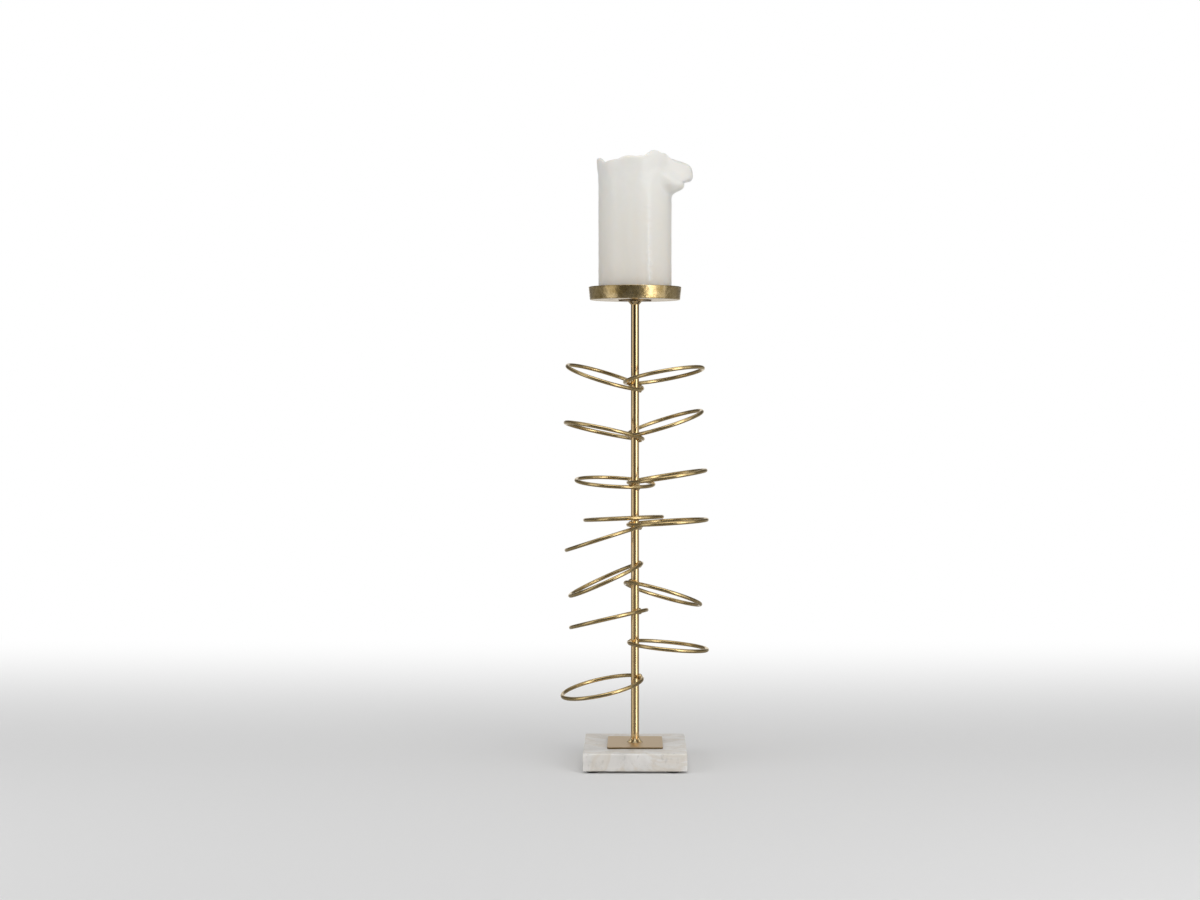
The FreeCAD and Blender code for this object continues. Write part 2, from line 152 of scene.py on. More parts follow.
def chipped_slab():
    """The slab cut into small faces and worn inwards along its edges."""
    chip_depth = 1.1 * mm
    chip_size = 8 * mm
    wear_reach = 2.0 * mm
    wear_curve = 1.5
    chip_bias, chip_curve, grain = 0.15, 1.6, 0.12
    step = 1.5 * mm
    edge_step, edge_cuts = 0.65 * mm, 3
    on_cut, same_spot, sliver = 0.0001 * mm, 0.001 * mm, 0.005 * mm
    low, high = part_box("marble_base")
    middle = (low + high) / 2
    shape = bmesh.new()
    shape.from_mesh(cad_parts["marble_base"].data)
    bmesh.ops.remove_doubles(shape, verts=shape.verts, dist=same_spot)
    for axis in range(3):
        direction = Vector([float(axis == index) for index in range(3)])
        count = round((high[axis] - low[axis]) / step)
        places = [low[axis] + (high[axis] - low[axis]) * cut / count for cut in range(1, count)]
        for cut in range(1, edge_cuts + 1):
            places += [low[axis] + edge_step * cut, high[axis] - edge_step * cut]
        for place in places:
            everything = shape.verts[:] + shape.edges[:] + shape.faces[:]
            bmesh.ops.bisect_plane(
                shape, geom=everything, dist=on_cut, plane_co=direction * place, plane_no=direction)
    for vert in shape.verts:
        gaps = [min(vert.co[axis] - low[axis], high[axis] - vert.co[axis]) for axis in range(3)]
        edge_gap = sorted(gaps)[1]
        if edge_gap > wear_reach:
            continue
        wear = (1 - edge_gap / wear_reach) ** wear_curve
        chip = max(0.0, noise.noise(vert.co / chip_size) + chip_bias) ** chip_curve
        bite = chip + grain * abs(noise.noise(vert.co / step))
        for axis in range(3):
            if gaps[axis] < wear_reach:
                inward = 1 if vert.co[axis] < middle[axis] else -1
                vert.co[axis] += inward * chip_depth * bite * wear
    bmesh.ops.remove_doubles(shape, verts=shape.verts, dist=sliver)
    return shape


slab = add_piece("marble_slab", chipped_slab(), marble_finish(), "marble", "stand", "marble_base")
crease = math.radians(38)
slab.data.set_sharp_from_angle(angle=crease)


# Rubber feet
# Four round bumpers of soft black rubber, moulded with a rounded lower edge and stuck
# under the slab's corners.
def turned(profile, steps, closed=False):
    """A shape spun about the Z axis from points of radius and height."""
    shape = bmesh.new()
    verts = [shape.verts.new((radius, 0, height)) for radius, height in profile]
    pairs = list(zip(verts, verts[1:])) + ([(verts[-1], verts[0])] if closed else [])
    edges = [shape.edges.new(pair) for pair in pairs]
    bmesh.ops.spin(
        shape, geom=verts + edges, cent=(0, 0, 0), axis=(0, 0, 1),
        angle=2 * math.pi, steps=steps, use_merge=True)
    same_spot = 0.0005 * mm
    bmesh.ops.remove_doubles(shape, verts=shape.verts, dist=same_spot)
    bmesh.ops.recalc_face_normals(shape, faces=shape.faces)
    return shape


def arc(radius, height, bend, start, end, steps):
    """Points of radius and height round a corner of the profile, angles in degrees."""
    angles = [math.radians(start + (end - start) * step / steps) for step in range(steps + 1)]
    return [(radius + bend * math.cos(angle), height + bend * math.sin(angle)) for angle in angles]


def rubber_finish():
    """Matt black rubber, a little dusty."""
    finish, tree, shader, place = new_finish("black_rubber", metallic=0.0, roughness=0.62)
    dust = clouds(tree, place, 2 * mm, detail=6.0)
    tree.links.new(shades(tree, dust, ((0.35, 0.012), (0.75, 0.035))), shader.inputs["Base Color"])
    relief(tree, shader, dust, depth=0.03 * mm)
    return finish


rubber = rubber_finish()
lower_edge = 0.7 * mm
upper_edge = lower_edge / 3
for corner in ("front_left", "front_right", "rear_left", "rear_right"):
    node = "foot_" + corner
    low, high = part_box(node)
    radius = (high.x - low.x) / 2
    profile = [(0, 0)] + arc(radius - 2 * lower_edge, lower_edge, lower_edge, -90, -10, 5)
    profile += arc(radius - upper_edge, high.z - upper_edge, upper_edge, -10, 90, 4) + [(0, high.z)]
    bumper = turned(profile, steps=48)
    bmesh.ops.translate(bumper, verts=bumper.verts, vec=((low.x + high.x) / 2, (low.y + high.y) / 2, 0))
    add_piece("bumper_" + corner, bumper, rubber, "foot_rubber", "stand", node)


# Steel plate
# A square sheared from thin steel, its corners rounded, satin brushed and plated a pale
# champagne, laid on the slab under the post.
def dressed(finish, *nodes):
    """Gives CAD nodes their finish."""
    for node in nodes:
        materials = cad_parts[node].data.materials
        materials.clear()
        materials.append(finish)


def fade(tree, value, start, end, change="SMOOTHSTEP"):
    """0 at the start, 1 at the end, which may be the lower, and a soft change between them."""
    between = tree.nodes.new("ShaderNodeMapRange")
    between.interpolation_type = change
    between.inputs["From Min"].default_value = start
    between.inputs["From Max"].default_value = end
    tree.links.new(value, between.inputs["Value"])
    return between.outputs["Result"]


def part_of(tree, place, axis):
    """One of the three parts of a place or a direction."""
    split = tree.nodes.new("ShaderNodeSeparateXYZ")
    tree.links.new(place, split.inputs["Vector"])
    return split.outputs[axis]


def plate_finish():
    """Satin champagne plating with a fine brushed grain; its side below the top is painted dark as a painted
    contact shadow.
    """
    finish, tree, shader, place = new_finish("satin_plate", metallic=1.0, roughness=0.42)
    brushed = clouds(tree, stretched(tree, place, (1.0, 30.0, 1.0)), 12 * mm, detail=5.0)
    champagne = shades(tree, brushed, ((0.3, (0.70, 0.53, 0.325)), (0.7, (0.76, 0.58, 0.365))))
    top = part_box("base_plate")[1].z
    bright_lip, dark_edge = 0.3 * mm, 0.9 * mm
    # Painted shade: the plate's side is painted dark from just under its top downwards, standing in for the
    # contact shadow under it.
    painted_edge_shadow = fade(tree, part_of(tree, place, "Z"), top - bright_lip, top - dark_edge)
    tree.links.new(mixed(tree, painted_edge_shadow, champagne, (0.20, 0.14, 0.07)), shader.inputs["Base Color"])
    tree.links.new(shades(tree, brushed, ((0.3, 0.38), (0.7, 0.46))), shader.inputs["Roughness"])
    relief(tree, shader, brushed, depth=0.006 * mm)
    return finish


dressed(plate_finish(), "base_plate")


# Post
# One round steel bar, brass plated and lacquered, bright along its length with the fine
# lines that drawing left, and a little tarnish.
def post_finish():
    """Bright brass with drawn lines along the bar."""
    finish, tree, shader, place = new_finish("drawn_brass", metallic=1.0, roughness=0.12)
    lines = clouds(tree, stretched(tree, place, (1.0, 1.0, 0.03)), 1.6 * mm, detail=3.0)
    tarnish = clouds(tree, stretched(tree, place, (1.0, 1.0, 0.3)), 14 * mm, detail=2.0, wander=0.5)
    bright = shades(tree, lines, ((0.3, (0.72, 0.50, 0.24)), (0.7, (0.84, 0.62, 0.33))))
    tarnish_share = shades(tree, tarnish, ((0.52, 0.0), (0.78, 0.5)))
    tree.links.new(mixed(tree, tarnish_share, bright, (0.48, 0.33, 0.14)), shader.inputs["Base Color"])
    tree.links.new(shades(tree, tarnish, ((0.35, 0.08), (0.75, 0.17))), shader.inputs["Roughness"])
    relief(tree, shader, lines, depth=0.001 * mm)
    return finish


def drawn_bar():
    """The round bar, its two ends lightly broken, drilled up from its foot."""
    low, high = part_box("post")
    radius = high.x
    bore = 2.55 * mm
    bore_top = low.z + 14 * mm
    chamfer = 0.25 * mm
    rows = 40
    profile = [(0, bore_top), (bore, bore_top), (bore, low.z)]
    profile += [(radius - chamfer, low.z), (radius, low.z + chamfer)]
    profile += [(radius, low.z + (high.z - low.z) * row / rows) for row in range(1, rows)]
    profile += [(radius, high.z - chamfer), (radius - chamfer, high.z), (0, high.z)]
    return turned(profile, steps=96)


bar = add_piece("drawn_bar", drawn_bar(), post_finish(), "post_gold", "stand", "post")
bar.data.set_sharp_from_angle(angle=crease)


# Bolt and washer
# A zinc plated socket head bolt and washer in the slab's counterbore, which pull slab,
# plate and post together.
def zinc_finish():
    """Dull zinc plating."""
    finish, tree, shader, place = new_finish("zinc_plating", metallic=1.0, roughness=0.38)
    spangle = clouds(tree, place, 1.5 * mm, detail=5.0)
    zinc = shades(tree, spangle, ((0.3, (0.44, 0.45, 0.46)), (0.7, (0.62, 0.63, 0.64))))
    tree.links.new(zinc, shader.inputs["Base Color"])
    tree.links.new(shades(tree, spangle, ((0.3, 0.30), (0.7, 0.50))), shader.inputs["Roughness"])
    return finish


dressed(zinc_finish(), "fixing_bolt", "fixing_washer")


# Weld at the post's foot
# Five short runs of weld round the foot of the post, laid from five sides, so that the
# collar stands out in petals. Plated with the post.
def painted(tree, name):
    """The value, from 0 to 1, that a mesh holds at each of its points under a name."""
    held = tree.nodes.new("ShaderNodeAttribute")
    held.attribute_name = name
    return held.outputs["Fac"]


def weld_finish():
    """Plated weld, with a painted highlight on its humps and painted shade in its folds."""
    finish, tree, shader, place = new_finish("plated_weld", metallic=1.0, roughness=0.30)
    painted_light_share = painted(tree, "painted_light_share")
    # Painted light: the colour runs from dark in the folds (painted shade) to pale on the humps (painted
    # highlight).
    bright = shades(tree, painted_light_share, ((0.15, (0.24, 0.155, 0.065)), (0.55, (0.88, 0.70, 0.42))))
    scale = clouds(tree, place, 1.6 * mm, detail=5.0, wander=0.5)
    speck = shades(tree, scale, ((0.30, 0.5), (0.48, 0.0)))
    tree.links.new(mixed(tree, speck, bright, (0.42, 0.29, 0.13)), shader.inputs["Base Color"])
    tree.links.new(shades(tree, painted_light_share, ((0.1, 0.42), (0.6, 0.22))), shader.inputs["Roughness"])
    relief(tree, shader, scale, depth=0.04 * mm)
    return finish


def weld_collar(node, face, up, petals, valley, uneven):
    """A concave collar of weld round the post; up is 1 above its face and -1 below it.

    Between its petals it thins to the valley's share, and uneven is how much they differ.
    """
    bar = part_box("post")[1].x
    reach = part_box(node)[1].x - bar
    rows, steps_round = 14, 144
    hollow = 1.35
    inside = 0.9
    sunk = 0.3 * mm
    petal_width = 0.7
    outs = [row / rows for row in range(rows + 1)]
    profile = [(1 + out, (1 - out) ** hollow) for out in outs] + [(inside, 0.0), (inside, 1.0)]
    shape = turned(profile, steps_round, closed=True)
    painted_light_share = shape.verts.layers.float.new("painted_light_share")
    for vert in shape.verts:
        angle = math.atan2(vert.co.y, vert.co.x)
        out = math.hypot(vert.co.x, vert.co.y) - 1
        spread = (0.5 + 0.5 * math.cos(petals * (angle + math.pi / 2))) ** petal_width
        spread *= 1 - uneven * abs(noise.noise(Vector((math.cos(angle), math.sin(angle), face)) * 1.7))
        # Stores the share of painted light: painted highlight on the petals, painted shade between them.
        vert[painted_light_share] = spread
        share = (valley + (1 - valley) * spread) * (1 + 0.04 * noise.noise(vert.co * 2.5))
        radius = bar + (out * reach * share if out > 0 else -sunk)
        height = face + up * vert.co.z * reach * share
        vert.co = Vector((radius * math.cos(angle), radius * math.sin(angle), height))
    bmesh.ops.recalc_face_normals(shape, faces=shape.faces)
    return shape


weld_brass = weld_finish()
plate_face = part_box("post_foot_weld")[0].z
foot_collar = weld_collar("post_foot_weld", plate_face, up=1, petals=5, valley=0.42, uneven=0.25)
add_piece("foot_weld_petals", foot_collar, weld_brass, "weld_gold", "stand", "post_foot_weld")


# Wire rings
# Fourteen rings of round steel wire, rolled and butt welded, brass plated with a little
# antique tarnish. They are set round the post from the top down.
def ring_finish():
    """Antique brass on wire: warm, satin, with darker stretches."""
    finish, tree, shader, place = new_finish("antique_wire", metallic=1.0, roughness=0.22)
    stretch = clouds(tree, place, 18 * mm, detail=3.0, wander=0.6)
    speck = clouds(tree, place, 3 * mm, detail=4.0)
    warm = shades(tree, speck, ((0.35, (0.635, 0.475, 0.225)), (0.65, (0.715, 0.54, 0.265))))
    tarnish = shades(tree, stretch, ((0.46, 0.0), (0.70, 0.45)))
    tree.links.new(mixed(tree, tarnish, warm, (0.44, 0.32, 0.15)), shader.inputs["Base Color"])
    tree.links.new(shades(tree, stretch, ((0.35, 0.21), (0.7, 0.28))), shader.inputs["Roughness"])
    relief(tree, shader, speck, depth=0.008 * mm)
    return finish


ring_brass = ring_finish()
ring_count = 14
ring_numbers = range(1, ring_count + 1)
dressed(ring_brass, *("ring_%02d" % number for number in ring_numbers))


# Ring welds
# A blob of weld holds each ring to the post from above and below its wire. Each was laid
# by hand, so no two have the same shape.
def weld_blob(number):
    """An uneven blob in the corners between a ring's wire and the post."""
    low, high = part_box("ring_%02d_weld" % number)
    middle = (low + high) / 2
    away = Vector((middle.x, middle.y, 0)).normalized()
    beside = Vector((0, 0, 1)).cross(away)
    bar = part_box("post")[1].x
    size = (high.z - low.z) / 2
    thick, wide, tall = 0.72, 0.84, 0.86
    centre = away * (bar + 0.16 * size) + Vector((0, 0, middle.z))
    shape = bmesh.new()
    bmesh.ops.create_icosphere(shape, subdivisions=5, radius=1.0)
    seed = Vector((number * 3.7, 0, 0))
    lean = 0.16 * noise.noise(seed)
    painted_light_share = shape.verts.layers.float.new("painted_light_share")
    for vert in shape.verts:
        swell = noise.noise(vert.co * 1.6 + seed)
        # Stores the share of painted light: painted highlight on the lumps, painted shade in the hollows.
        vert[painted_light_share] = min(1.0, max(0.0, 0.5 + 0.9 * swell))
        lump = 1 + 0.18 * swell + 0.05 * noise.noise(vert.co * 4 + seed)
        point = vert.co * lump * size
        out, side, rise = point.x * thick, point.y * (wide + lean), point.z * (tall - lean)
        vert.co = centre + away * out + beside * side + Vector((0, 0, rise))
    return shape


for number in ring_numbers:
    name = "ring_%02d_weld" % number
    add_piece(name + "_blob", weld_blob(number), weld_brass, "weld_gold", "stand", name)


# Pan carrier
# A steel disc welded on top of the post, which the pan sits on, and the collar of weld
# under it.
def disc_finish():
    """Dark brown steel all over: painted shade, for the shadow the disc lies in under the pan."""
    finish, tree, shader, place = new_finish("painted_shade_disc", metallic=1.0, roughness=0.38)
    scale = clouds(tree, place, 3 * mm, detail=5.0)
    # Painted shade: the disc's colour is kept dark brown for the shadow under the pan.
    painted_shade_colour = shades(tree, scale, ((0.35, (0.20, 0.13, 0.06)), (0.7, (0.36, 0.25, 0.11))))
    tree.links.new(painted_shade_colour, shader.inputs["Base Color"])
    relief(tree, shader, scale, depth=0.03 * mm)
    return finish


dressed(disc_finish(), "pan_support_disc")
disc_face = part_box("pan_support_weld")[1].z
disc_collar = weld_collar("pan_support_weld", disc_face, up=-1, petals=5, valley=0.75, uneven=0.35)
add_piece("disc_weld_collar", disc_collar, weld_brass, "weld_gold", "stand", "pan_support_weld")


# Pan
# A shallow pan spun from sheet with a rolled rim, its wall planished with a small hammer
# before it was gilded.
def pan_finish():
    """Antique gold laid on rough metal: dark, with pitted bright patches."""
    finish, tree, shader, place = new_finish("antique_pan", metallic=1.0, roughness=0.36)
    broad = clouds(tree, place, 10 * mm, detail=6.0, wander=0.8)
    pits = clouds(tree, place, 0.9 * mm, detail=5.0, wander=0.3)
    gold = shades(tree, broad, ((0.32, (0.44, 0.315, 0.13)), (0.68, (0.71, 0.55, 0.30))))
    pitted = shades(tree, pits, ((0.56, 0.0), (0.70, 0.8)))
    tree.links.new(mixed(tree, pitted, gold, (0.25, 0.17, 0.065)), shader.inputs["Base Color"])
    tree.links.new(shades(tree, pits, ((0.3, 0.17), (0.7, 0.40))), shader.inputs["Roughness"])
    relief(tree, shader, pits, depth=0.07 * mm)
    return finish


def hammered_pan():
    """The spun pan with shallow dents all round its wall."""
    low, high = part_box("candle_pan")
    rim = high.x
    lean_out = 1.25 * mm
    base = rim - lean_out
    wall = 1.2 * mm
    heel = 1.0 * mm
    lip = wall / 2
    under_steps, slope_steps, floor_steps, steps_round = 30, 20, 24, 300
    dent_size = 3.6 * mm
    dent_depth = 0.14 * mm
    profile = [(base * step / under_steps, low.z) for step in range(under_steps)]
    profile += arc(base - heel, low.z + heel, heel, -90, -5, 6)
    wall_foot = profile[-1]
    wall_top = (rim - 0.03 * mm, high.z - lip)
    for step in range(1, slope_steps):
        share = step / slope_steps
        profile.append(tuple(foot + (top - foot) * share for foot, top in zip(wall_foot, wall_top)))
    profile += arc(rim - lip, high.z - lip, lip, 0, 180, 8)
    inner_top = profile[-1]
    inner_foot = (base - wall, low.z + wall + heel)
    for step in range(1, slope_steps // 2):
        share = step / (slope_steps // 2)
        profile.append(tuple(top + (foot - top) * share for foot, top in zip(inner_foot, inner_top)))
    profile += arc(base - wall - heel, low.z + wall + heel, heel, 0, -90, 5)
    floor_edge = base - wall - heel
    profile += [(floor_edge * (1 - step / floor_steps), low.z + wall) for step in range(1, floor_steps + 1)]
    shape = turned(profile, steps_round)
    for vert in shape.verts:
        radius = math.hypot(vert.co.x, vert.co.y)
        if radius > base - heel and vert.co.z > low.z + heel / 2:
            broad_dent = max(0.0, noise.noise(vert.co / dent_size) + 0.1)
            dent = broad_dent + 0.25 * noise.noise(vert.co / (dent_size / 3))
            share = 1 - dent_depth * max(dent, 0.0) / radius
            vert.co.x *= share
            vert.co.y *= share
    return shape


add_piece("hammered_pan", hammered_pan(), pan_finish(), "pan_gold", "stand", "candle_pan")


# Candle
# A white pillar candle that has burnt down unevenly: the rim stands in soft peaks, melted
# wax has run over its right side as a tongue, and one thin run has set down its front.
def smooth_path(points, place):
    """The point at a place from 0 to 1 along a smooth path near the given points."""
    spans = len(points) - 3
    span = min(int(place * spans), spans - 1)
    part = place * spans - span
    weights = (
        (1 - part) ** 3 / 6,
        (3 * part ** 3 - 6 * part ** 2 + 4) / 6,
        (-3 * part ** 3 + 3 * part ** 2 + 3 * part + 1) / 6,
        part ** 3 / 6,
    )
    near = points[span:span + 4]
    return [sum(weight * point[axis] for weight, point in zip(weights, near)) for axis in range(2)]


candle_radius = 38 * mm
candle_height = 150.2 * mm
candle_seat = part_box("candle_wax")[0].z
rim_height_shares = (
    0.945, 0.947, 0.955, 0.959, 0.950, 0.946, 0.954, 0.960, 0.956,
    0.965, 0.957, 0.923, 0.938, 0.958, 0.955, 0.998, 0.982, 0.948,
)
foot_shares = (
    (0.0, 0.0), (0.0, 0.0), (0.0, 0.0), (0.5, 0.0), (0.97, 0.0), (0.99, 0.0), (1.0, 0.02), (1.0, 0.04),
)
straight_levels = (0.15, 0.25, 0.35, 0.45, 0.54, 0.60, 0.63, 0.65, 0.66)
plain_wall_shares = (
    (1.00, 0.92), (1.00, 0.84), (1.00, 0.76), (1.002, 0.68), (1.005, 0.60), (1.008, 0.53),
    (1.012, 0.46), (1.018, 0.39), (1.025, 0.32), (1.032, 0.25), (1.04, 0.18), (1.05, 0.11),
    (1.055, 0.04), (1.045, -0.025), (0.99, -0.03), (0.92, 0.04), (0.82, 0.17),
)
lobe_wall_shares = (
    (1.00, 1.16), (1.05, 1.095), (1.14, 1.06), (1.27, 1.00), (1.36, 0.93), (1.37, 0.85),
    (1.345, 0.79), (1.46, 0.77), (1.565, 0.69), (1.582, 0.58), (1.582, 0.44), (1.545, 0.32),
    (1.40, 0.255), (1.22, 0.205), (1.06, 0.150), (0.93, 0.115), (0.80, 0.24),
)
lobe_ways = (-14, -14, -14, -14, -14, -14, -12, -3, 2, 3, 3, 3, 3, 3, 0, 0, 0)
bowl_shares = ((0.66, 0.42), (0.50, 0.53), (0.33, 0.56), (0.16, 0.56), (0.0, 0.55), (0.0, 0.55), (0.0, 0.55))
lobe_spread_front, lobe_spread_back = 25, 21
run_direction = -68
run_low, run_high = 14 * mm, 118 * mm


def rim_height(turn):
    """Height of the melted rim at a turn in degrees, smooth between its shares."""
    step = turn / 360 * len(rim_height_shares)
    before = math.floor(step) % len(rim_height_shares)
    after = (before + 1) % len(rim_height_shares)
    part = (1 - math.cos(math.pi * (step - math.floor(step)))) / 2
    return candle_height * (rim_height_shares[before] * (1 - part) + rim_height_shares[after] * part)


def lobe_share(turn, way):
    """How much of the tongue there is at a turn, when its middle lies that way."""
    off = (turn - way + 180) % 360 - 180
    spread = lobe_spread_front if off < 0 else lobe_spread_back
    return math.exp(-abs(off / spread) ** 3)


def wax_outline(turn):
    """The candle's outline at a turn, from the middle of its foot to the middle of its bowl."""
    points = [(candle_radius * out, candle_height * up) for out, up in foot_shares]
    points += [(candle_radius, candle_height * level) for level in straight_levels]
    for plain, lobe, way in zip(plain_wall_shares, lobe_wall_shares, lobe_ways):
        blend = lobe_share(turn, way)
        plain_up = rim_height(turn) - candle_radius * plain[1]
        lobe_up = candle_height - candle_radius * lobe[1]
        out = candle_radius * (plain[0] + blend * (lobe[0] - plain[0]))
        points.append((out, plain_up + blend * (lobe_up - plain_up)))
    return points + [(candle_radius * out, candle_height - candle_radius * drop) for out, drop in bowl_shares]


def wax_run(turn, height):
    """How far the thin run of wax stands out of the wall at a turn and height.

    It starts broad and flat, and on its way down it narrows, sways and gathers lumps.
    """
    down = (run_high - height) / (run_high - run_low)
    if not 0 < down < 1:
        return 0.0
    lumps = noise.noise(Vector((5, 0, height / (4 * mm)))) * down
    sway = 5 * noise.noise(Vector((0, 0, height / (9 * mm)))) * down
    wander = sway + 3 * noise.noise(Vector((9, 0, height / (3 * mm)))) * down ** 2
    across = math.radians((turn - run_direction - wander + 180) % 360 - 180) * candle_radius
    ends = min(1.0, 5 * down) * min(1.0, 20 * (1 - down))
    width = (4.2 - 1.6 * down + 1.2 * lumps) * mm
    proud = (0.3 + 0.6 * down + 1.4 * lumps) * mm
    return max(0.0, proud) * math.sqrt(ends) * math.exp(-(across / width) ** 2)


def melted_candle():
    """A sheet rolled into a tube, then each row of it set on the candle's outline."""
    turns, rows = 360, 190
    melt_start, melt_reach = 90 * mm, 30 * mm
    wall_share = 0.8
    full_run = 1.1 * mm
    broad, fine = 11 * mm, 6 * mm
    shape = bmesh.new()
    bmesh.ops.create_grid(shape, x_segments=turns, y_segments=rows, size=1.0)
    run_share = shape.verts.layers.float.new("run")
    outlines = {}
    for vert in shape.verts:
        turn = round((vert.co.x + 1) / 2 * turns) % turns
        place = (vert.co.y + 1) / 2
        degrees = turn * 360 / turns
        angle = math.radians(degrees)
        if turn not in outlines:
            outlines[turn] = wax_outline(degrees)
        radius, height = smooth_path(outlines[turn], min(max(place, 0.0), 1.0))
        melted = min(1.0, max(0.0, (height - melt_start) / melt_reach))
        spot = Vector((math.cos(angle) * radius, math.sin(angle) * radius, height))
        if radius > wall_share * candle_radius:
            proud = wax_run(degrees, height)
            vert[run_share] = min(1.0, proud / full_run)
            radius += proud
            radius += (0.12 + 0.5 * melted) * mm * noise.noise(spot / broad)
        height += 0.6 * mm * melted * noise.noise(spot / fine) * min(1.0, radius / (10 * mm))
        vert.co = Vector((math.cos(angle) * radius, math.sin(angle) * radius, candle_seat + max(height, 0.0)))
    bmesh.ops.remove_doubles(shape, verts=shape.verts, dist=0.001 * mm)
    bmesh.ops.recalc_face_normals(shape, faces=shape.faces)
    return shape


def wax_finish():
    """White wax that light enters a little: darker and creamier towards the foot, whiter towards the top."""
    finish, tree, shader, place = new_finish("white_wax", metallic=0.0, roughness=0.34)
    candle_top = candle_seat + candle_height
    level = fade(tree, part_of(tree, place, "Z"), candle_seat, candle_top, change="LINEAR")
    low_to_high = ((0.0, (0.68, 0.64, 0.575)), (0.55, (0.725, 0.705, 0.655)), (0.85, (0.76, 0.75, 0.715)))
    body = shades(tree, level, low_to_high)
    cloud = shades(tree, clouds(tree, place, 24 * mm, detail=5.0, wander=0.5), ((0.45, 0.0), (0.8, 0.35)))
    clouded = mixed(tree, cloud, body, (0.72, 0.70, 0.66))
    # Along the run the colour is painted whiter, a painted highlight; the run is also glossier.
    run_highlight_share = shades(tree, painted(tree, "run"), ((0.1, 0.0), (0.9, 0.6)))
    tree.links.new(mixed(tree, run_highlight_share, clouded, (0.79, 0.78, 0.75)), shader.inputs["Base Color"])
    skin = clouds(tree, place, 4 * mm, detail=5.0)
    waxy = shades(tree, skin, ((0.3, 0.30), (0.7, 0.42)))
    tree.links.new(mixed(tree, run_highlight_share, waxy, (0.18, 0.18, 0.18)), shader.inputs["Roughness"])
    relief(tree, shader, skin, depth=0.05 * mm)
    shader.inputs["Subsurface Weight"].default_value = 0.45
    shader.inputs["Subsurface Radius"].default_value = (1.0, 0.8, 0.6)
    shader.inputs["Subsurface Scale"].default_value = 5 * mm
    return finish


add_piece("melted_candle", melted_candle(), wax_finish(), "wax", "candle", "candle_wax")


# Wick
# Braided cotton, soaked with wax at its foot, charred and curled at its tip.
def wick_finish():
    """Cotton that goes from waxy cream to char with its height."""
    finish, tree, shader, place = new_finish("charred_wick", metallic=0.0, roughness=0.85)
    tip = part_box("candle_wick")[1].z
    waxy_below, burnt_above = tip - 8 * mm, tip - 3 * mm
    level = fade(tree, part_of(tree, place, "Z"), waxy_below, burnt_above, change="LINEAR")
    browns = ((0.0, (0.42, 0.36, 0.27)), (0.5, (0.06, 0.045, 0.035)), (1.0, (0.012, 0.011, 0.010)))
    tree.links.new(shades(tree, level, browns), shader.inputs["Base Color"])
    relief(tree, shader, clouds(tree, place, 0.5 * mm, detail=4.0), depth=0.08 * mm)
    return finish


def braided_wick():
    """A braid of three strands' bulges, bent over at its tip."""
    low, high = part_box("candle_wick")
    thick = (high.x - low.x) / 2
    steps, steps_round = 60, 24
    strands, twist = 3, 26
    bend_start = 0.45
    shape = bmesh.new()
    foot = high.z - 12 * mm
    start = bmesh.ops.create_circle(shape, segments=steps_round, radius=thick * 0.8, cap_ends=True)
    bmesh.ops.translate(shape, verts=start["verts"], vec=(0, 0, foot))
    face = shape.faces[:]
    for _ in range(steps):
        grown = bmesh.ops.extrude_discrete_faces(shape, faces=face)
        face = grown["faces"]
        bmesh.ops.translate(shape, verts=face[0].verts[:], vec=(0, 0, (high.z - foot) / steps))
    bmesh.ops.holes_fill(shape, edges=shape.edges[:], sides=0)
    bmesh.ops.recalc_face_normals(shape, faces=shape.faces)
    for vert in shape.verts:
        share = (vert.co.z - foot) / (high.z - foot)
        angle = math.atan2(vert.co.y, vert.co.x)
        radius = math.hypot(vert.co.x, vert.co.y)
        one_way, other_way = strands * angle + share * twist, strands * angle - share * twist
        plait = 1 + 0.16 * math.cos(one_way) + 0.10 * math.cos(other_way)
        plait *= 1 - 0.35 * share ** 6
        bend = 1.5 * mm * max(0.0, share - bend_start) ** 1.5 * 2
        vert.co.x = radius * plait * math.cos(angle) + bend
        vert.co.y = radius * plait * math.sin(angle) - bend * 0.4
    return shape


add_piece("braided_wick", braided_wick(), wick_finish(), "wick", "candle", "candle_wick")


# Room
# A pale floor that fades into a white background, even light from a plain room, three tall
# soft lamps in front, one overhead and two fills, and the camera as the photograph has it.
def joined(tree, way, first, second):
    """Two values joined in the named way."""
    join = tree.nodes.new("ShaderNodeMath")
    join.operation = way
    tree.links.new(first, join.inputs[0])
    tree.links.new(second, join.inputs[1])
    return join.outputs[0]


def ray_kinds(tree, *kinds):
    """1 for rays of the named kinds, 0 for others."""
    path = tree.nodes.new("ShaderNodeLightPath")
    total = path.outputs[kinds[0]]
    for kind in kinds[1:]:
        total = joined(tree, "MAXIMUM", total, path.outputs[kind])
    return total


def layered(tree, lowest, layers):
    """Surfaces or lights laid over the lowest one in turn, each by its own share."""
    result = lowest
    for share, over in layers:
        blend = tree.nodes.new("ShaderNodeMixShader")
        tree.links.new(share, blend.inputs["Fac"])
        tree.links.new(result, blend.inputs[1])
        tree.links.new(over, blend.inputs[2])
        result = blend.outputs["Shader"]
    return result


def grey_light(tree, level):
    """Even light of one level."""
    light = tree.nodes.new("ShaderNodeBackground")
    light.inputs["Color"].default_value = (1.0, 1.0, 1.0, 1.0)
    light.inputs["Strength"].default_value = level
    return light.outputs["Background"]


seen_by_eye = "Is Camera Ray"
seen_in_metal = ("Is Glossy Ray", "Is Transmission Ray")


